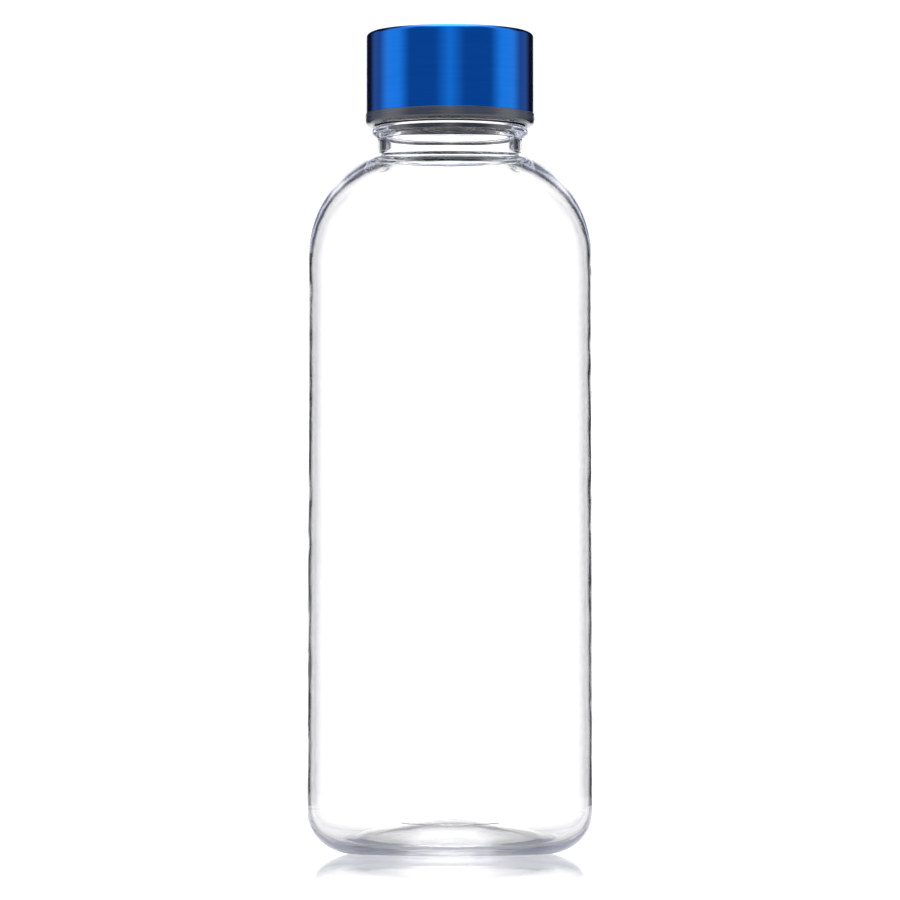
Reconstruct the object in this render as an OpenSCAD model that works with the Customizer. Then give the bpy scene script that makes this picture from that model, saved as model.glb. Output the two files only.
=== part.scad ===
// Clear screw-cap water bottle: a blow-moulded bottle, a metal-clad screw cap and its seal.
// Millimetres, +Z up. The origin is the middle of the base, on the surface the bottle stands on.
// Every profile is drawn in the (radius, height) plane and turned about Z.

/* [Body] */
// Outside diameter of the straight part of the body
body_d = 72; // [68:0.5:76]
// Height of the closed bottle, from the foot to the top of the cap
total_h = 206; // [202:1:216]
// Wall thickness of the straight part of the body
wall = 1; // [0.9:0.05:1.3]
// Height at which the shoulder starts to curve in
shoulder_z = 149.8; // [148:0.2:151]
// Outside radius of the domed shoulder
shoulder_r = 27; // [26:0.25:27.5]
// Inside radius of the domed shoulder
shoulder_in_r = 25.5; // [25:0.1:26]

/* [Base] */
// Outside radius of the corner between body and foot
corner_r = 11.3; // [10:0.1:12.5]
// Inside radius of the corner between body and floor
corner_in_r = 9.7; // [9.3:0.1:10.3]
// Thickness of the base under the lowest part of the floor
floor_t = 1.75; // [1.5:0.05:2.2]
// Width of the flat ring that the bottle stands on
foot_w = 2.1; // [1.5:0.1:3]
// Height of the hollow under the base
punt_h = 5.8; // [5:0.1:6.2]
// Height of the push-up above the floor, inside
dome_h = 6.25; // [6:0.05:6.5]
// Radius of the push-up's curve
dome_r = 62; // [58:1:66]

/* [Neck] */
// Outside diameter of the plain neck between shoulder and support ring
neck_d = 36.6; // [36.4:0.1:37]
// Inside diameter of the neck
bore_d = 32.2; // [31.4:0.1:32.4]
// Outside diameter of the support ring
ring_d = 39.4; // [38.6:0.1:40]
// Height of the support ring's upright edge
ring_t = 1.6; // [1.2:0.1:2]
// Height of the slope under the support ring
ring_slope = 1.5; // [1:0.1:2]
// Outside diameter of the threaded part of the neck, without its threads
finish_d = 35.5; // [35.4:0.1:35.6]

/* [Thread] */
// Number of thread starts
starts = 3; // [2:1:3]
// Rise of a thread in one full turn
lead = 9; // [9:0.5:12]
// Angle that each thread covers
thread_span = 150; // [110:5:150]
// How far the threads stand out of their wall
thread_h = 0.9; // [0.7:0.05:0.95]
// Height of a thread where it meets its wall
thread_root = 1.9; // [1.6:0.1:1.9]
// Height of a thread along its crest
thread_crest = 0.8; // [0.6:0.1:0.8]

/* [Cap] */
// Outside diameter of the metal shell
shell_d = 42.3; // [42.2:0.1:43]
// Thickness of the metal shell's side
shell_t = 0.5; // [0.4:0.05:0.6]
// Thickness of the metal shell's top
shell_top_t = 0.6; // [0.5:0.05:0.8]
// Height of the metal shell
shell_h = 20.5; // [18:0.1:21]
// Outside diameter of the plastic collar under the shell
collar_d = 42.6; // [42.4:0.1:43.4]
// Height of the plastic collar under the shell
collar_h = 3.05; // [2.8:0.05:4]
// Radius of the collar's rounded lower edge
collar_lip = 1.3; // [0.8:0.1:1.5]
// Thickness of the inner cap's top
lid_t = 1.4; // [1.2:0.1:1.8]

/* [Seal] */
// Thickness of the sealing ring
seal_t = 1.5; // [1.2:0.1:2]

/* [Hidden] */
$fn = 96;

body_r = body_d / 2;
body_in_r = body_r - wall;
neck_r = neck_d / 2;
bore_r = bore_d / 2;
ring_r = ring_d / 2;
finish_r = finish_d / 2;
shell_r = shell_d / 2;
shell_in_r = shell_r - shell_t;
collar_r = collar_d / 2;

// Heights, from the top of the cap down
shell_z = total_h - shell_h;
lid_top_z = total_h - shell_top_t;
lid_z = lid_top_z - lid_t;
rim_z = lid_z - seal_t;
skirt_z = shell_z - collar_h;
ring_gap = 0.35;
ring_top_z = skirt_z - ring_gap;
ring_low_z = ring_top_z - ring_t;
ring_root_z = ring_low_z - ring_slope;

// Centres of the arcs that shape the bottle
shoulder_c = [body_r - shoulder_r, shoulder_z];
shoulder_drop = 0.9;
shoulder_in_c = [body_in_r - shoulder_in_r, shoulder_z - shoulder_drop];
corner_c = [body_r - corner_r, corner_r];
corner_in_c = [body_in_r - corner_in_r, floor_t + corner_in_r];
neck_fillet = 1.2;
bore_fillet = 3;

// Foot, hollow under the base and push-up inside it
foot_in_r = corner_c[0] - foot_w;
punt_r = cap_radius(foot_in_r, punt_h);
dome_top_z = floor_t + dome_h;
step_r = 12.4;
step_h = 0.2;
nub_half_w = 5.5;
nub_h = 0.6;
nub_r = cap_radius(nub_half_w, nub_h);
gate_recess_r = 6.5;
gate_recess = 0.3;
gate_r = 1.6;

// Rounding of the drinking rim
rim_round = 0.6;

// Threads: the cap's lie halfway between the bottle's, so both clear each other by the same gap
thread_z = rim_z - 12.5;
thread_pitch = lead / starts;
skirt_in_r = finish_r + 1.25;
thread_sink = 0.35;
thread_start = 12.5;
thread_step = 5;
thread_run_out = 20;

// Inner cap and seal
liner_gap = 0.04;
liner_r = shell_in_r - liner_gap;
lid_round = 0.7;
shell_round = 1.2;
mouth_round = 0.4;
plug_r = bore_r - 0.6;
plug_t = 1;
plug_h = 3;
plug_round = 0.4;
seal_in_r = plug_r + 0.1;
seal_out_r = skirt_in_r - 0.1;

// Radius of the circle whose cap has this half width and height
function cap_radius(half_w, h) = (half_w * half_w + h * h) / (2 * h);

// Thread height along its length, from 0 at its ends to 1
function run_out(a) = min(1, a / thread_run_out, (thread_span - a) / thread_run_out);

// Four corners of a thread's section at angle a; side is 1 for a thread outside its wall, -1 inside
function thread_section(wall_r, side, a) =
    let (
        crest_r = wall_r + side * (thread_h * run_out(a) - 0.02),
        sunk_r = wall_r - side * thread_sink,
        z = lead * a / 360
    )
    [
        for (p = [[sunk_r, -thread_root / 2], [crest_r, -thread_crest / 2],
                  [crest_r, thread_crest / 2], [sunk_r, thread_root / 2]])
            [p[0] * cos(a), p[0] * sin(a), p[1] + z]
    ];

// One raised thread that winds up its wall as it turns anticlockwise
module thread(wall_r, side) {
    n = thread_span / thread_step;
    points = [for (i = [0:n]) each thread_section(wall_r, side, i * thread_step)];
    ring = side > 0 ? [0, 1, 2, 3] : [3, 2, 1, 0];
    start = [for (k = [3:-1:0]) ring[k]];
    end = [for (k = ring) 4 * n + k];
    sides = [
        for (i = [0:n - 1], k = [0:3])
            let (a = 4 * i + ring[k], b = 4 * i + ring[(k + 1) % 4])
                [a, b, b + 4, a + 4]
    ];
    polyhedron(points, concat([start, end], sides), convexity = 6);
}

// All the threads of one wall, with their lowest section centred at height z
module threads(wall_r, side, z)
    for (i = [0:starts - 1])
        rotate([0, 0, thread_start + i * 360 / starts])
            translate([0, 0, z])
                thread(wall_r, side);

// Rectangle between two opposite corners
module rect(low, high)
    translate(low)
        square(high - low);

module disc(centre, r)
    translate(centre)
        circle(r);

// Upright bar with a domed top that peaks on the axis at height top; r is the radius of the dome's curve
module domed_bar(half_w, top, r)
    intersection() {
        rect([0, -1], [half_w, top + 1]);
        disc([0, top - r], r);
    }

// Upright bar with its two upper corners rounded
module round_top_bar(low, high, r) {
    rect(low, [high[0], high[1] - r]);
    rect([low[0] + r, low[1]], [high[0] - r, high[1]]);
    disc([low[0] + r, high[1] - r], r);
    disc([high[0] - r, high[1] - r], r);
}

// Upright bar with its two lower corners rounded
module round_foot_bar(low, high, r) {
    rect([low[0], low[1] + r], high);
    rect([low[0] + r, low[1]], [high[0] - r, high[1]]);
    disc([low[0] + r, low[1] + r], r);
    disc([high[0] - r, low[1] + r], r);
}

// Fills the corner between the upright line at x and the top of an arc, with a fillet of radius f
module root_fillet(x, arc_c, arc_r, f) {
    dx = x + f - arc_c[0];
    c = [x + f, arc_c[1] + sqrt((arc_r + f) * (arc_r + f) - dx * dx)];
    touch = arc_c + (c - arc_c) * (arc_r - 0.3) / (arc_r + f);
    difference() {
        polygon([[x - 0.5, c[1]], c, touch, [x - 0.5, touch[1]]]);
        disc(c, f);
    }
}

// Outside of the bottle as if it were solid
module bottle_outline() {
    intersection() {
        rect([0, 0], [body_r, rim_z]);
        union() {
            rect([0, 0], [corner_c[0], corner_r + 1]);
            disc(corner_c, corner_r);
            rect([0, corner_r], [body_r, shoulder_z]);
            disc(shoulder_c, shoulder_r);
        }
    }
    root_fillet(neck_r, shoulder_c, shoulder_r, neck_fillet);
    rect([0, shoulder_z], [neck_r, ring_root_z + 0.1]);
    polygon([[0, ring_root_z], [neck_r, ring_root_z], [ring_r, ring_low_z], [ring_r, ring_top_z], [0, ring_top_z]]);
    rect([0, ring_top_z - 1], [finish_r, rim_z - rim_round]);
}

// Space inside the bottle
module cavity_outline() {
    difference() {
        intersection() {
            rect([0, floor_t], [body_in_r, rim_z]);
            union() {
                rect([0, floor_t], [corner_in_c[0], corner_in_c[1] + 1]);
                disc(corner_in_c, corner_in_r);
                rect([0, corner_in_c[1]], [body_in_r, shoulder_in_c[1]]);
                disc(shoulder_in_c, shoulder_in_r);
            }
        }
        push_up_outline();
    }
    root_fillet(bore_r, shoulder_in_c, shoulder_in_r, bore_fillet);
    rect([0, shoulder_z], [bore_r, rim_z]);
}

// Push-up inside the base: a low dome, a stepped disc and the rounded mark of the moulding gate
module push_up_outline() {
    domed_bar(body_in_r, dome_top_z, dome_r);
    domed_bar(step_r, dome_top_z + step_h, dome_r);
    domed_bar(2 * nub_half_w, dome_top_z + nub_h, nub_r);
}

// Hollow under the base, with the gate's recess and the cut-off stub of the gate in it
module punt_outline() {
    domed_bar(foot_in_r, punt_h, punt_r);
    difference() {
        domed_bar(gate_recess_r, punt_h + gate_recess, punt_r);
        rect([0, punt_h], [gate_r, punt_h + 1]);
    }
}

// One piece from foot to rim, with the support ring and the threads on its neck
module bottle()
    color([0.86, 0.93, 0.98, 0.45]) {
        rotate_extrude() {
            difference() {
                bottle_outline();
                cavity_outline();
                punt_outline();
            }
            round_top_bar([bore_r, rim_z - 2], [finish_r, rim_z], rim_round);
        }
        threads(finish_r, 1, thread_z);
    }

// Silicone washer that the lid presses onto the rim
module seal_ring()
    color("white")
        rotate_extrude()
            rect([seal_in_r, rim_z], [seal_out_r, lid_z]);

// Outside of the inner cap as if it were solid: the lid, the wall under the shell and the collar
module inner_cap_outline() {
    rect([0, shell_z - 1], [liner_r, lid_top_z - lid_round]);
    rect([0, shell_z], [liner_r - lid_round, lid_top_z]);
    disc([liner_r - lid_round, lid_top_z - lid_round], lid_round);
    rect([0, skirt_z + collar_lip], [collar_r, shell_z]);
    rect([0, skirt_z], [collar_r - collar_lip, shell_z]);
    disc([collar_r - collar_lip, skirt_z + collar_lip], collar_lip);
}

// Threaded hollow of the inner cap, with a bevelled mouth
module inner_cap_hollow() {
    rect([0, skirt_z - 1], [skirt_in_r, lid_z]);
    polygon([[0, skirt_z - 1], [skirt_in_r + mouth_round + 1, skirt_z - 1], [skirt_in_r, skirt_z + mouth_round],
        [0, skirt_z + mouth_round]]);
}

// Inner cap: threads inside, a plug ring that centres the seal, and the collar below the shell
module inner_cap()
    color([0.36, 0.38, 0.42]) {
        rotate_extrude() {
            difference() {
                inner_cap_outline();
                inner_cap_hollow();
            }
            round_foot_bar([plug_r - plug_t, lid_z - plug_h], [plug_r, lid_z + 0.5], plug_round);
        }
        threads(skirt_in_r, -1, thread_z - thread_pitch / 2);
    }

// Outline of the shell or of the space in it, with a rounded upper edge
module shell_outline(r, low, top, round_r) {
    rect([0, low], [r, top - round_r]);
    rect([0, low], [r - round_r, top]);
    disc([r - round_r, top - round_r], round_r);
}

// Anodised metal shell pressed over the inner cap
module cap_shell()
    color([0.02, 0.25, 0.72])
        rotate_extrude()
            difference() {
                shell_outline(shell_r, shell_z, total_h, shell_round);
                shell_outline(shell_in_r, shell_z - 1, lid_top_z, lid_round);
            }

bottle();
seal_ring();
inner_cap();
cap_shell();
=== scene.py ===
"""Looks of the clear screw-cap water bottle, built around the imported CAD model.

Metres, +Z up. Outlines are drawn in millimetres in the (radius, height) half plane and turned about Z.
"""

import math

import bpy
import numpy as np
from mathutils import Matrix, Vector


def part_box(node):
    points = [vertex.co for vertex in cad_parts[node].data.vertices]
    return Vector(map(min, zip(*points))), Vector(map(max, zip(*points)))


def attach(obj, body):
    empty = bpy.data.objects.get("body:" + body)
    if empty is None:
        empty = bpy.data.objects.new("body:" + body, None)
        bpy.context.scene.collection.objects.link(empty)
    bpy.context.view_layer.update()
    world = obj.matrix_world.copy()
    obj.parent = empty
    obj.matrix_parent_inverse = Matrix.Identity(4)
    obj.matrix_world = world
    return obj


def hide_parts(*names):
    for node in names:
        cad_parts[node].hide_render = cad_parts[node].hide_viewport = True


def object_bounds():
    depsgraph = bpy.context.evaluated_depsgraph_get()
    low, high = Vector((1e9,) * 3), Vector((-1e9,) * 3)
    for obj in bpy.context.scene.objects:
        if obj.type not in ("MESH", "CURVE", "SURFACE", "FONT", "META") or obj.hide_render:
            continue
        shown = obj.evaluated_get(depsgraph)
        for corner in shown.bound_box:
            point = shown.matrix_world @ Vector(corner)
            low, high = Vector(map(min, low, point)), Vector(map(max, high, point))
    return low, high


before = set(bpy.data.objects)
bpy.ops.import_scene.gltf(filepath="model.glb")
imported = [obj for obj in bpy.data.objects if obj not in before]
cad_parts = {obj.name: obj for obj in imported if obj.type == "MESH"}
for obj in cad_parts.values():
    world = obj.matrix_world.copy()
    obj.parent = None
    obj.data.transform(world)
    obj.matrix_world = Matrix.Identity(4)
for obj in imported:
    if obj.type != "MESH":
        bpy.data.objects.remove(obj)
cad_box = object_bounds()

MM = 0.001

# ---------------------------------------------------------------- places, from the CAD nodes


def in_mm(node):
    """(lowest corner, highest corner) of a CAD node, in millimetres."""
    low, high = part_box(node)
    return low / MM, high / MM


bottle_high = in_mm("bottle")[1]
seal_high = in_mm("seal_ring")[1]
inner_low, inner_high = in_mm("inner_cap")
shell_low, shell_high = in_mm("cap_shell")

BODY_R = bottle_high.x
RIM_Z = bottle_high.z
SEAL_OUT_R = seal_high.x
LID_Z = seal_high.z
SKIRT_Z = inner_low.z
COLLAR_R = inner_high.x
LID_TOP_Z = inner_high.z
SHELL_Z = shell_low.z
SHELL_R = shell_high.x
TOP_Z = shell_high.z

# ---------------------------------------------------------------- sizes that the boxes don't show, in millimetres

WALL = 1.0
BODY_IN_R = BODY_R - WALL
TAPER = 0.25
SHOULDER_Z, SHOULDER_R = 149.8, 27.0
SHOULDER_IN_Z, SHOULDER_IN_R = 148.9, 25.5
CORNER_R, CORNER_IN_R = 11.3, 9.7
FLOOR_Z = 1.75
FOOT_IN_R = 22.6
PUNT_H = 5.8
GATE_R, GATE_RECESS_R, GATE_RECESS = 1.6, 6.5, 0.3
DOME_R, DOME_TOP_Z = 62.0, 8.0
STEP_R, STEP = 12.4, 0.2
NUB_HALF_W, NUB_H = 5.5, 0.6

NECK_R, NECK_FILLET = 18.3, 1.2
BORE_R, BORE_FILLET = 16.1, 3.0
RING_R, RING_ROOT_Z, RING_LOW_Z, RING_TOP_Z = 19.7, 179.0, 180.5, 182.1
RING_ROUND = 0.7
FINISH_R = 17.75
RIM_ROUND = 0.6

STARTS, LEAD, THREAD_SPAN, THREAD_START, THREAD_RUN_OUT = 3, 9.0, 150.0, 12.5, 20.0
THREAD_H, THREAD_ROOT, THREAD_CREST = 0.9, 1.9, 0.8
THREAD_Z = RIM_Z - 12.5
CAP_THREAD_Z = THREAD_Z - LEAD / STARTS / 2
SKIRT_IN_R = 19.0

LINER_R, LID_ROUND = 20.61, 0.7
COLLAR_LIP, MOUTH_ROUND = 1.3, 0.4
PLUG_R, PLUG_T, PLUG_H, PLUG_ROUND = 15.5, 1.0, 3.0, 0.4
SHELL_T, SHELL_TOP_T, SHELL_ROUND = 0.5, 0.6, 1.2
SEAL_IN_R = 15.6

# ---------------------------------------------------------------- outlines


def arc(centre, radius, start, end):
    """Points on an arc about centre, from angle start to angle end in degrees."""
    count = max(2, int(abs(end - start) / 1.5) + 1)
    a = np.radians(np.linspace(start, end, count))
    return [(centre[0] + radius * math.cos(t), centre[1] + radius * math.sin(t)) for t in a]


def cap_radius(half_w, height):
    """Radius of the circle whose cap has this half width and height."""
    return (half_w * half_w + height * height) / (2 * height)


def dome(r, top_z, radius):
    return top_z - radius + np.sqrt(radius * radius - r * r)


def soften(points, blend, step, angle=4.0, loop=False):
    """Rounds an outline's corners over the length blend.

    Keeps a point for every angle degrees of turn and for every step of length.
    """
    p = np.array(points, float)
    if loop:
        p = np.vstack([p, p[:1]])
    s = np.concatenate([[0], np.cumsum(np.hypot(*np.diff(p, axis=0).T))])
    fine = 0.04
    count = int(s[-1] / fine)
    at = np.linspace(0, s[-1], count + 1)
    q = np.stack([np.interp(at, s, p[:, k]) for k in (0, 1)], 1)
    reach = max(1, round(blend / fine))
    kernel = np.convolve(np.ones(reach), np.ones(reach))
    kernel /= kernel.sum()
    pad = len(kernel) // 2
    if loop:
        wide = np.vstack([q[-pad - 1 : -1], q, q[1 : pad + 1]])
    else:
        mirror = np.array([-1, 1])
        wide = np.vstack([q[pad:0:-1] * mirror, q, q[-2 : -pad - 2 : -1] * mirror])
    q = np.stack([np.convolve(wide[:, k], kernel, "valid") for k in (0, 1)], 1)
    d = np.diff(q, axis=0)
    turn = np.abs(np.diff(np.unwrap(np.arctan2(d[:, 1], d[:, 0]))))
    turn = np.concatenate([[0], (turn[:-1] + turn[1:]) / 2, [0, 0]]) / math.radians(angle)
    length = np.hypot(d[:, 0], d[:, 1])
    middle = (q[1:] + q[:-1]) / 2
    weight = turn[: len(length)] + length / step(middle[:, 0], middle[:, 1])
    total = np.concatenate([[0], np.cumsum(weight)])
    wanted = np.linspace(0, total[-1], int(total[-1]) + 2)
    out = np.stack([np.interp(wanted, total, q[:, k]) for k in (0, 1)], 1)
    if loop:
        return out[:-1]
    out[0, 0] = out[-1, 0] = 0
    return out


def even(length):
    return lambda r, z: np.full_like(r, length)


def lathe(name, outline, segments, shape=None, loop=False):
    """Turns an outline about Z. It starts and ends on the axis, underside first, unless it is a loop.
    shape gives each point's radius from its outline radius, its height and its angle in degrees."""
    ring = outline if loop else outline[1:-1]
    degrees = np.arange(segments) * 360 / segments
    r = np.repeat(ring[:, :1], segments, 1)
    z = np.repeat(ring[:, 1:], segments, 1)
    a = np.repeat(degrees[None], len(ring), 0)
    if shape:
        r = shape(r, z, a)
    co = np.stack([r * np.cos(np.radians(a)), r * np.sin(np.radians(a)), z], 2).reshape(-1, 3)
    rows = np.arange(len(ring) if loop else len(ring) - 1)[:, None]
    i = rows * segments + np.arange(segments)[None]
    i_next = rows * segments + (np.arange(segments)[None] + 1) % segments
    up = ((rows + 1) % len(ring) - rows) * segments
    faces = np.stack([i, i_next, i_next + up, i + up], 2).reshape(-1, 4).tolist()
    if not loop:
        start, end = len(co), len(co) + 1
        co = np.vstack([co, [0, 0, outline[0, 1]], [0, 0, outline[-1, 1]]])
        last = (len(ring) - 1) * segments
        for j in range(segments):
            k = (j + 1) % segments
            faces.append([start, k, j])
            faces.append([end, last + j, last + k])
    mesh = bpy.data.meshes.new(name)
    mesh.from_pydata((co * MM).tolist(), [], faces)
    mesh.shade_smooth()
    obj = bpy.data.objects.new(name, mesh)
    bpy.context.scene.collection.objects.link(obj)
    return obj


def ramp(x, low, high):
    """0 below low, 1 above high, and smooth between."""
    t = np.clip((x - low) / (high - low), 0, 1)
    return t * t * (3 - 2 * t)


def thread_height(z, degrees, low_z):
    """How far the threads stand out of their wall."""
    height = np.zeros_like(z)
    for i in range(STARTS):
        a = (degrees - THREAD_START - i * 360 / STARTS) % 360
        along = ramp(np.minimum(a, THREAD_SPAN - a), 0, THREAD_RUN_OUT)
        off = np.abs(z - low_z - LEAD * a / 360)
        height = np.maximum(height, THREAD_H * along * ramp(-off, -THREAD_ROOT / 2, -THREAD_CREST / 2))
    return height


# ---------------------------------------------------------------- pieces


def bottle_outline():
    """The whole wall in one line: under the base, up the outside, over the rim and down the inside."""
    r = np.linspace(0, FOOT_IN_R, 460)
    under = dome(r, PUNT_H, cap_radius(FOOT_IN_R, PUNT_H))
    under += np.where(r < GATE_RECESS_R, GATE_RECESS, 0) - np.where(r < GATE_R, GATE_RECESS, 0)
    points = list(zip(r, under))
    points += arc((BODY_R - CORNER_R, CORNER_R), CORNER_R, -90, 0)
    centre = np.array([BODY_R - SHOULDER_R, SHOULDER_Z])
    root = NECK_R + NECK_FILLET - centre[0]
    lean = math.degrees(math.acos(root / (SHOULDER_R + NECK_FILLET)))
    points += arc(centre, SHOULDER_R, 0, lean)
    fillet_z = SHOULDER_Z + (SHOULDER_R + NECK_FILLET) * math.sin(math.radians(lean))
    points += arc((NECK_R + NECK_FILLET, fillet_z), NECK_FILLET, 180 + lean, 180)
    points.append((NECK_R, RING_ROOT_Z))
    points += arc((RING_R - RING_ROUND, RING_LOW_Z + 0.1), RING_ROUND, -47, 0)
    points += arc((RING_R - RING_ROUND, RING_TOP_Z - RING_ROUND), RING_ROUND, 0, 90)
    points.append((FINISH_R, RING_TOP_Z))
    points += arc((FINISH_R - RIM_ROUND, RIM_Z - RIM_ROUND), RIM_ROUND, 0, 90)
    points += arc((BORE_R + RIM_ROUND, RIM_Z - RIM_ROUND), RIM_ROUND, 90, 180)
    centre = np.array([BODY_IN_R - SHOULDER_IN_R, SHOULDER_IN_Z])
    root = BORE_R + BORE_FILLET - centre[0]
    lean = math.degrees(math.acos(root / (SHOULDER_IN_R + BORE_FILLET)))
    fillet_z = SHOULDER_IN_Z + (SHOULDER_IN_R + BORE_FILLET) * math.sin(math.radians(lean))
    points += arc((BORE_R + BORE_FILLET, fillet_z), BORE_FILLET, 180, 180 + lean)
    points += arc(centre, SHOULDER_IN_R, lean, 0)
    points.append((BODY_IN_R, FLOOR_Z + CORNER_IN_R))
    r = np.linspace(BODY_IN_R, 0, 900)
    out = r - (BODY_IN_R - CORNER_IN_R)
    corner = FLOOR_Z + CORNER_IN_R - np.sqrt(np.maximum(CORNER_IN_R**2 - np.maximum(out, 0) ** 2, 0))
    floor = dome(r, DOME_TOP_Z, DOME_R) + np.where(r < STEP_R, STEP, 0)
    nub_r = cap_radius(NUB_HALF_W, NUB_H)
    nub = DOME_TOP_Z + NUB_H - nub_r + np.sqrt(np.maximum(nub_r**2 - r**2, 0))
    points += list(zip(r, np.maximum(np.maximum(floor, nub), corner)))

    def step(r, z):
        threaded = (r > FINISH_R - 0.3) & (z > RING_TOP_Z + 0.1) & (z < RIM_Z - RIM_ROUND)
        return np.where(threaded, 0.17, np.where(z < 12, 0.9, 1.6))

    return soften(points, 0.2, step)


# A blown wall swells more inside than outside, by these millimetres, and fades out at the moulded base and neck.
# The outside sits a little inside its outline, so that no swell leaves the CAD box.
SWELL_IN, SWELL_OUT, OUTSIDE_INSET = 0.022, 0.006, 0.009
BLOWN_FROM, BLOWN_TO = (9, 22), (150, 168)

WAVES = np.random.default_rng(7)
WALL_WAVES = [
    (WAVES.integers(1, 9), WAVES.uniform(0.15, 0.9), WAVES.uniform(0, 2 * math.pi), WAVES.uniform(0.3, 1))
    for _ in range(14)
]


def waves(z, degrees, shift):
    """Slow uneven swells of a blown wall, from about -1 to 1."""
    total = 0
    for turns, rate, phase, size in WALL_WAVES:
        total = total + size * np.sin(turns * np.radians(degrees) + rate * z * (1 + 0.1 * shift) + phase * (1 + shift))
    return total / 5


def bottle_shape(r, z, degrees):
    """Threads, the slight taper of the body, and a blown wall's uneven thickness."""
    on_finish = (np.abs(r - FINISH_R) < 0.05) & (z > RING_TOP_Z + 0.3) & (z < RIM_Z - RIM_ROUND)
    r = r + np.where(on_finish, thread_height(z, degrees, THREAD_Z), 0)
    beyond_neck = np.clip((r - NECK_R) / (BODY_R - NECK_R), 0, 1)
    r = r - TAPER * beyond_neck * ramp(z, CORNER_R, SHOULDER_Z) * (z < RING_ROOT_Z)
    blown = ramp(z, *BLOWN_FROM) * (1 - ramp(z, *BLOWN_TO))
    inside = r < BODY_IN_R + 0.3
    swell_out = SWELL_OUT * waves(z, degrees, 0.0) - OUTSIDE_INSET
    swell = np.where(inside, SWELL_IN * waves(z, degrees, 1.0), swell_out)
    return r + blown * swell


def inner_cap_outline():
    points = [(0, LID_Z), (PLUG_R - PLUG_T, LID_Z)]
    points += arc((PLUG_R - PLUG_T + PLUG_ROUND, LID_Z - PLUG_H + PLUG_ROUND), PLUG_ROUND, 180, 270)
    points += arc((PLUG_R - PLUG_ROUND, LID_Z - PLUG_H + PLUG_ROUND), PLUG_ROUND, 270, 360)
    points += [(PLUG_R, LID_Z), (SKIRT_IN_R, LID_Z), (SKIRT_IN_R, SKIRT_Z + MOUTH_ROUND)]
    points += [(SKIRT_IN_R + MOUTH_ROUND, SKIRT_Z)]
    points += arc((COLLAR_R - COLLAR_LIP, SKIRT_Z + COLLAR_LIP), COLLAR_LIP, -90, 0)
    points += [(COLLAR_R, SHELL_Z), (LINER_R, SHELL_Z)]
    points += arc((LINER_R - LID_ROUND, LID_TOP_Z - LID_ROUND), LID_ROUND, 0, 90)
    points += [(0, LID_TOP_Z)]

    def step(r, z):
        threaded = (np.abs(r - SKIRT_IN_R) < 0.1) & (z > SKIRT_Z + 1) & (z < LID_Z - 0.3)
        return np.where(threaded, 0.2, 1.2)

    return soften(points, 0.14, step, 6.0)


def inner_cap_shape(r, z, degrees):
    on_wall = (np.abs(r - SKIRT_IN_R) < 0.05) & (z > SKIRT_Z + 1) & (z < LID_Z - 0.3)
    return r - np.where(on_wall, thread_height(z, degrees, CAP_THREAD_Z), 0)


def shell_outline():
    in_r, in_top = SHELL_R - SHELL_T, TOP_Z - SHELL_TOP_T
    points = [(0, in_top)] + arc((in_r - LID_ROUND, in_top - LID_ROUND), LID_ROUND, 90, 0)
    points += [(in_r, SHELL_Z), (SHELL_R, SHELL_Z)]
    points += arc((SHELL_R - SHELL_ROUND, TOP_Z - SHELL_ROUND), SHELL_ROUND, 0, 90)
    points += [(0, TOP_Z)]
    return soften(points, 0.12, even(0.8))


def seal_outline():
    points = [(SEAL_IN_R, LID_Z), (SEAL_IN_R, RIM_Z), (SEAL_OUT_R, RIM_Z), (SEAL_OUT_R, LID_Z)]
    return soften(points, 0.25, even(0.3), 8.0, loop=True)


bottle = lathe("bottle_body", bottle_outline(), 256, bottle_shape)
inner_cap = lathe("cap_liner", inner_cap_outline(), 240, inner_cap_shape)
shell = lathe("cap_metal_shell", shell_outline(), 240)
seal = lathe("silicone_washer", seal_outline(), 200, loop=True)

for piece, body, node, slot in [
    (bottle, "vessel", "bottle", "clear_plastic"),
    (seal, "gasket", "seal_ring", "silicone"),
    (inner_cap, "closure", "inner_cap", "smoke_plastic"),
    (shell, "closure", "cap_shell", "blue_metal"),
]:
    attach(piece, body)
    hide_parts(node)

# ---------------------------------------------------------------- materials


def add(tree, kind, inputs=None, **settings):
    """A node with these settings, whose inputs are plain values or other nodes' outputs."""
    node = tree.nodes.new(kind)
    for key, value in settings.items():
        setattr(node, key, value)
    for key, value in (inputs or {}).items():
        if isinstance(value, bpy.types.NodeSocket):
            tree.links.new(value, node.inputs[key])
        else:
            node.inputs[key].default_value = value
    return node


def calc(tree, operation, *values):
    return add(tree, "ShaderNodeMath", dict(enumerate(values)), operation=operation).outputs[0]


def between(tree, value, low, high, to_low=0.0, to_high=1.0):
    """to_low where value is low or less, to_high where it is high or more, and smooth between."""
    limits = {"Value": value, "From Min": low, "From Max": high, "To Min": to_low, "To Max": to_high}
    return add(tree, "ShaderNodeMapRange", limits, interpolation_type="SMOOTHSTEP").outputs["Result"]


def mix(tree, factor, low, high):
    """A colour from low to high by factor. Each colour is (r, g, b, 1) or another node's output."""
    inputs = {"Factor": factor, "A": low, "B": high}
    return add(tree, "ShaderNodeMix", inputs, data_type="RGBA").outputs["Result"]


def position(tree):
    return add(tree, "ShaderNodeTexCoord").outputs["Object"]


def noise(tree, vector, scale, detail=2.0, rough=0.5):
    inputs = {"Vector": vector, "Scale": scale, "Detail": detail, "Roughness": rough}
    return add(tree, "ShaderNodeTexNoise", inputs).outputs["Fac"]


def off_axis(tree):
    """(the position's part across Z, its length)."""
    flat = add(tree, "ShaderNodeVectorMath", {0: position(tree), 1: (1, 1, 0)}, operation="MULTIPLY").outputs[0]
    return flat, add(tree, "ShaderNodeVectorMath", {0: flat}, operation="LENGTH").outputs["Value"]


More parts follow.
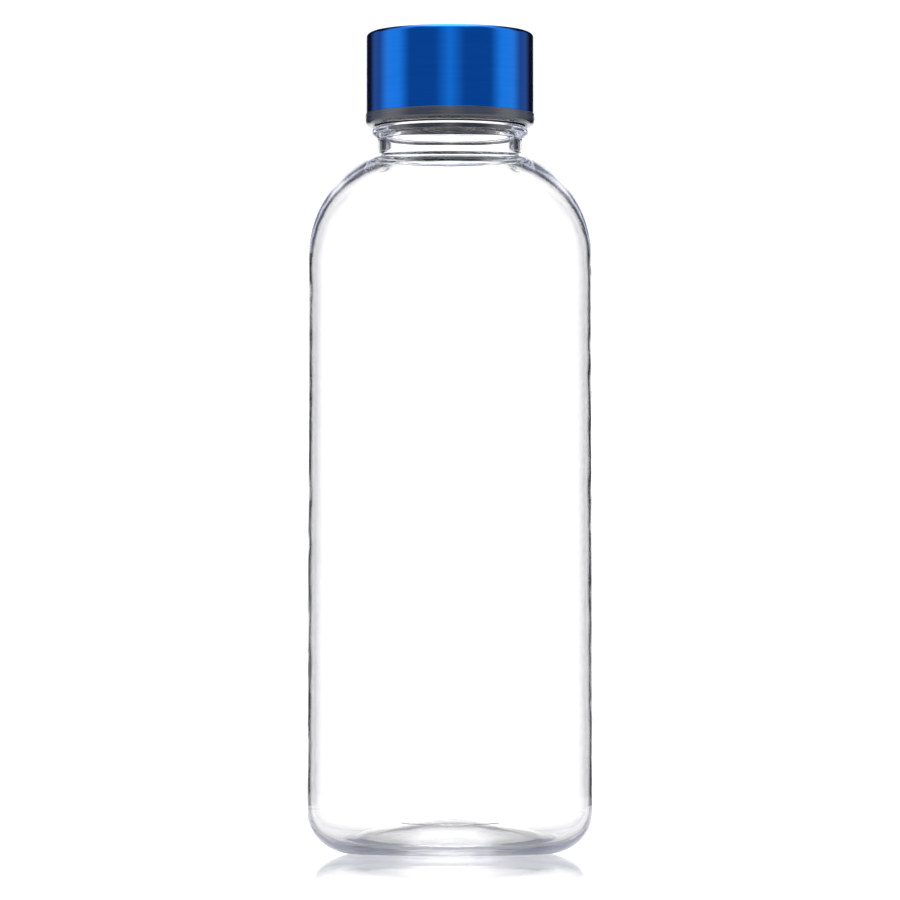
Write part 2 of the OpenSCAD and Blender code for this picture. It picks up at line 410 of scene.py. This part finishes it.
def turned(tree, around, along):
    """A vector for marks that run round Z: slow round the axis, fast along the outline of a turned piece."""
    height = add(tree, "ShaderNodeSeparateXYZ", {0: position(tree)}).outputs["Z"]
    flat, radius = off_axis(tree)
    unit = add(tree, "ShaderNodeVectorMath", {0: flat}, operation="NORMALIZE").outputs[0]
    spread = add(tree, "ShaderNodeVectorMath", {0: unit, "Scale": around}, operation="SCALE").outputs[0]
    place = calc(tree, "MULTIPLY", calc(tree, "SUBTRACT", height, radius), along)
    lift = add(tree, "ShaderNodeCombineXYZ", {"Z": place}).outputs[0]
    return add(tree, "ShaderNodeVectorMath", {0: spread, 1: lift}, operation="ADD").outputs[0]


def material(obj, name):
    """A new material on obj, as (its node tree, its Principled node)."""
    made = bpy.data.materials.new(name)
    made.use_nodes = True
    obj.data.materials.append(made)
    return made.node_tree, made.node_tree.nodes["Principled BSDF"]


def bump(tree, shader, height, strength, distance):
    node = add(tree, "ShaderNodeBump", {"Height": height, "Strength": strength, "Distance": distance})
    tree.links.new(node.outputs[0], shader.inputs["Normal"])


def clear_plastic():
    tree, shader = material(bottle, "clear_copolyester")
    shader.inputs["Base Color"].default_value = (1, 1, 1, 1)
    shader.inputs["Transmission Weight"].default_value = 1
    shader.inputs["IOR"].default_value = 1.54
    height = add(tree, "ShaderNodeSeparateXYZ", {0: position(tree)}).outputs["Z"]
    scuffs = noise(tree, position(tree), 900, 6, 0.7)
    foot = between(tree, height, 0.0001, 0.0012, 0.28, 0.0)
    worn = calc(tree, "MULTIPLY", foot, scuffs)
    haze = between(tree, noise(tree, position(tree), 35, 4), 0.45, 0.8, 0.0, 0.02)
    tree.links.new(calc(tree, "ADD", worn, haze), shader.inputs["Roughness"])
    bump(tree, shader, noise(tree, position(tree), 120, 1), 0.06, 0.0004)
    tint = add(tree, "ShaderNodeVolumeAbsorption", {"Color": (0.68, 0.74, 1.0, 1), "Density": 4})
    tree.links.new(tint.outputs[0], tree.nodes["Material Output"].inputs["Volume"])


def blue_metal():
    tree, shader = material(shell, "blue_anodised_aluminium")
    shader.inputs["Metallic"].default_value = 1
    shader.inputs["Anisotropic"].default_value = 0.4
    shader.inputs["Anisotropic Rotation"].default_value = 0.25
    shader.inputs["Coat Weight"].default_value = 0.15
    shader.inputs["Coat Roughness"].default_value = 0.12
    tangent = add(tree, "ShaderNodeTangent", direction_type="RADIAL", axis="Z")
    tree.links.new(tangent.outputs[0], shader.inputs["Tangent"])
    lines = noise(tree, turned(tree, 2.5, 9000), 1, 5, 0.65)
    broad = noise(tree, turned(tree, 1.2, 700), 1, 3)
    both = calc(tree, "ADD", calc(tree, "MULTIPLY", lines, 0.7), calc(tree, "MULTIPLY", broad, 0.3))
    dye = mix(tree, between(tree, both, 0.3, 0.7), (0.001, 0.138, 0.58, 1), (0.002, 0.154, 0.64, 1))
    tree.links.new(dye, shader.inputs["Base Color"])
    tree.links.new(between(tree, both, 0.25, 0.75, 0.09, 0.15), shader.inputs["Roughness"])
    bump(tree, shader, lines, 0.05, 0.00003)


def smoke_plastic():
    tree, shader = material(inner_cap, "smoke_polypropylene")
    shader.inputs["IOR"].default_value = 1.7
    streaks = noise(tree, turned(tree, 1.4, 2600), 1, 4, 0.6)
    shade = mix(tree, between(tree, streaks, 0.3, 0.7), (0.03, 0.037, 0.05, 1), (0.05, 0.06, 0.08, 1))
    height = add(tree, "ShaderNodeSeparateXYZ", {0: position(tree)}).outputs["Z"]
    # Painted shade: the lowest 0.6 to 0.9 mm of the collar, its rounded underside, is painted nearly black
    painted_shade_fade = between(tree, height, (SKIRT_Z + 0.6) * MM, (SKIRT_Z + 0.9) * MM)
    tree.links.new(mix(tree, painted_shade_fade, (0.006, 0.007, 0.009, 1), shade), shader.inputs["Base Color"])
    tree.links.new(between(tree, streaks, 0.3, 0.7, 0.12, 0.24), shader.inputs["Roughness"])
    bump(tree, shader, noise(tree, position(tree), 2500, 3), 0.1, 0.00003)


def silicone():
    tree, shader = material(seal, "white_silicone")
    cloud = noise(tree, position(tree), 260, 5, 0.6)
    shade = mix(tree, between(tree, cloud, 0.3, 0.7), (0.74, 0.75, 0.75, 1), (0.82, 0.83, 0.82, 1))
    tree.links.new(shade, shader.inputs["Base Color"])
    tree.links.new(between(tree, cloud, 0.3, 0.7, 0.5, 0.65), shader.inputs["Roughness"])
    bump(tree, shader, noise(tree, position(tree), 4000, 2), 0.15, 0.00003)


clear_plastic()
blue_metal()
smoke_plastic()
silicone()

# ---------------------------------------------------------------- table

# Metres. The table lies just under the bottle, so that the two surfaces never coincide.
TABLE_R, TABLE_CORNERS, TABLE_DROP = 0.6, 128, 0.00005


def table():
    mesh = bpy.data.meshes.new("table")
    turns = [2 * math.pi * k / TABLE_CORNERS for k in range(TABLE_CORNERS)]
    ring = [(TABLE_R * math.cos(t), TABLE_R * math.sin(t), 0) for t in turns]
    mesh.from_pydata(ring, [], [list(range(TABLE_CORNERS))])
    obj = bpy.data.objects.new("table", mesh)
    bpy.context.scene.collection.objects.link(obj)
    obj.location.z = cad_box[0].z - TABLE_DROP
    tree, shader = material(obj, "white_table_painted_glow")
    shader.inputs["Emission Color"].default_value = (1, 1, 1, 1)
    radius = off_axis(tree)[1]
    # Painted light: it glows a little under the bottle and its colour is darker there, which keeps the clear base pale
    tree.links.new(between(tree, radius, 0.05, 0.2, 0.28, 0.03), shader.inputs["Emission Strength"])
    tree.links.new(between(tree, radius, 0.05, 0.2, 0.35, 0.82), shader.inputs["Base Color"])
    shader.inputs["Specular IOR Level"].default_value = 0.6
    # Polished round the bottle and towards the rim, with a duller zone between that fades the mirror image
    dull = between(tree, radius, 0.12, 0.28, 0.03, 0.17)
    polish = between(tree, radius, 0.3, 0.42, 0.0, 0.14)
    tree.links.new(calc(tree, "SUBTRACT", dull, polish), shader.inputs["Roughness"])


table()

# ---------------------------------------------------------------- light

# The room round the bottle. Directions are degrees clockwise from +Y as seen from above, and the camera stands at
# 180. A window stands behind the bottle with a dark flag on each side, which draws the edges of the clear wall. A
# softbox stands on each side and one in front, and a soft fill lights the rest. Camera rays see BACKDROP instead.
WINDOW_HALF, WINDOW_LEVEL = 15, 1.5
FLAG_FROM, FLAG_TO, FLAG_LEVEL = 19, 40, 0.02
SIDE_AT, SIDE_HALF, SIDE_LEVEL = 95, 20, 1.2
FRONT_HALF, FRONT_LEVEL = 20, 1.0
FILL = 0.4
FADE = 15
BACKDROP = 1.25
DOME_LIGHT = 5.0
PEAK = 1.5
COOL = 0.3  # how far the dimmest light leans towards blue
HEADER_LOW, HEADER_HIGH, HEADER_DEPTH = (20, 27), (34, 42), 0.95  # a dark band over the window, by elevation
HEADER_TURN = (1.0, 1.3)  # where it ends on each side, in radians
DOME_FROM = (50, 64)  # elevation where the overhead light begins


def horizon_stops():
    """Where the level changes round the horizon, as (degrees, level)."""
    half = [
        (WINDOW_HALF, WINDOW_LEVEL),
        (FLAG_FROM, FLAG_LEVEL),
        (FLAG_TO, FLAG_LEVEL),
        (FLAG_TO + FADE, FILL),
        (SIDE_AT - SIDE_HALF - FADE / 2, FILL),
        (SIDE_AT - SIDE_HALF / 2, SIDE_LEVEL),
        (SIDE_AT + SIDE_HALF / 2, SIDE_LEVEL),
        (SIDE_AT + SIDE_HALF + FADE / 2, FILL),
        (180 - FRONT_HALF, FILL),
        (180, FRONT_LEVEL),
    ]
    return sorted([(-degrees, level) for degrees, level in half] + half)


def rise(tree, height, elevations, to_low=0.0, to_high=1.0):
    """to_low below the first of two elevations in degrees, to_high above the second; height is a direction's Z."""
    low, high = (math.sin(math.radians(e)) for e in elevations)
    return between(tree, height, low, high, to_low, to_high)


def light():
    world = bpy.data.worlds.new("studio")
    bpy.context.scene.world = world
    world.use_nodes = True
    tree = world.node_tree
    way = add(tree, "ShaderNodeTexCoord").outputs["Generated"]
    xyz = add(tree, "ShaderNodeSeparateXYZ", {0: way}).outputs
    turn = calc(tree, "ARCTAN2", xyz["X"], xyz["Y"])
    share = calc(tree, "ADD", calc(tree, "DIVIDE", turn, 2 * math.pi), 0.5)
    bands = add(tree, "ShaderNodeValToRGB", {"Fac": share})
    stops = bands.color_ramp.elements
    horizon = horizon_stops()
    while len(stops) < len(horizon):
        stops.new(0.5)
    for stop, (degrees, level) in zip(stops, horizon):
        stop.position = degrees / 360 + 0.5
        cool = COOL * (1 - min(1, level / 1.3))
        level /= PEAK
        stop.color = (level * (1 - cool), level * (1 - 0.8 * cool), level * (1 + 0.5 * cool), 1)
    behind = between(tree, calc(tree, "ABSOLUTE", turn), *HEADER_TURN, 1.0, 0.0)
    lower = rise(tree, xyz["Z"], HEADER_LOW)
    higher = rise(tree, xyz["Z"], HEADER_HIGH, 1.0, 0.0)
    header = calc(tree, "MULTIPLY", behind, calc(tree, "MULTIPLY", lower, higher))
    open_sky = calc(tree, "SUBTRACT", 1.0, calc(tree, "MULTIPLY", header, HEADER_DEPTH))
    strength = calc(tree, "MULTIPLY", open_sky, PEAK)
    lamp = add(tree, "ShaderNodeBackground", {"Color": bands.outputs[0], "Strength": strength})
    aside = calc(tree, "ABSOLUTE", xyz["X"])
    ceiling = between(tree, aside, 0.2, 0.5, DOME_LIGHT, 0.25 * DOME_LIGHT)
    overhead = add(tree, "ShaderNodeBackground", {"Color": (1, 1, 1, 1), "Strength": ceiling})
    up = rise(tree, xyz["Z"], DOME_FROM)
    studio = add(tree, "ShaderNodeMixShader", {0: up, 1: lamp.outputs[0], 2: overhead.outputs[0]})
    white = add(tree, "ShaderNodeBackground", {"Color": (1, 1, 1, 1), "Strength": BACKDROP})
    seen = add(tree, "ShaderNodeLightPath").outputs["Is Camera Ray"]
    whole = add(tree, "ShaderNodeMixShader", {0: seen, 1: studio.outputs[0], 2: white.outputs[0]})
    tree.links.new(whole.outputs[0], tree.nodes["World Output"].inputs["Surface"])


light()

# ---------------------------------------------------------------- camera

CAMERA_DISTANCE = 1.4
CAMERA_HEIGHT = 0.04
CAMERA_AIM = 0.101
LENS = 223.4
# Light that is guided round inside the thick base only gets out after many bounces
BOUNCES = 160


def camera():
    data = bpy.data.cameras.new("camera")
    data.lens = LENS
    data.sensor_width = 36
    data.clip_start = 0.05
    obj = bpy.data.objects.new("camera", data)
    bpy.context.scene.collection.objects.link(obj)
    obj.location = (0, -CAMERA_DISTANCE, CAMERA_HEIGHT)
    aim = Vector((0, 0, CAMERA_AIM)) - obj.location
    obj.rotation_euler = aim.to_track_quat("-Z", "Y").to_euler()
    bpy.context.scene.camera = obj


camera()

scene = bpy.context.scene
scene.view_settings.view_transform = "Standard"
scene.cycles.use_denoising = True
scene.cycles.max_bounces = BOUNCES
scene.cycles.transmission_bounces = BOUNCES
scene.cycles.glossy_bounces = BOUNCES
scene.cycles.caustics_reflective = True
scene.cycles.caustics_refractive = True
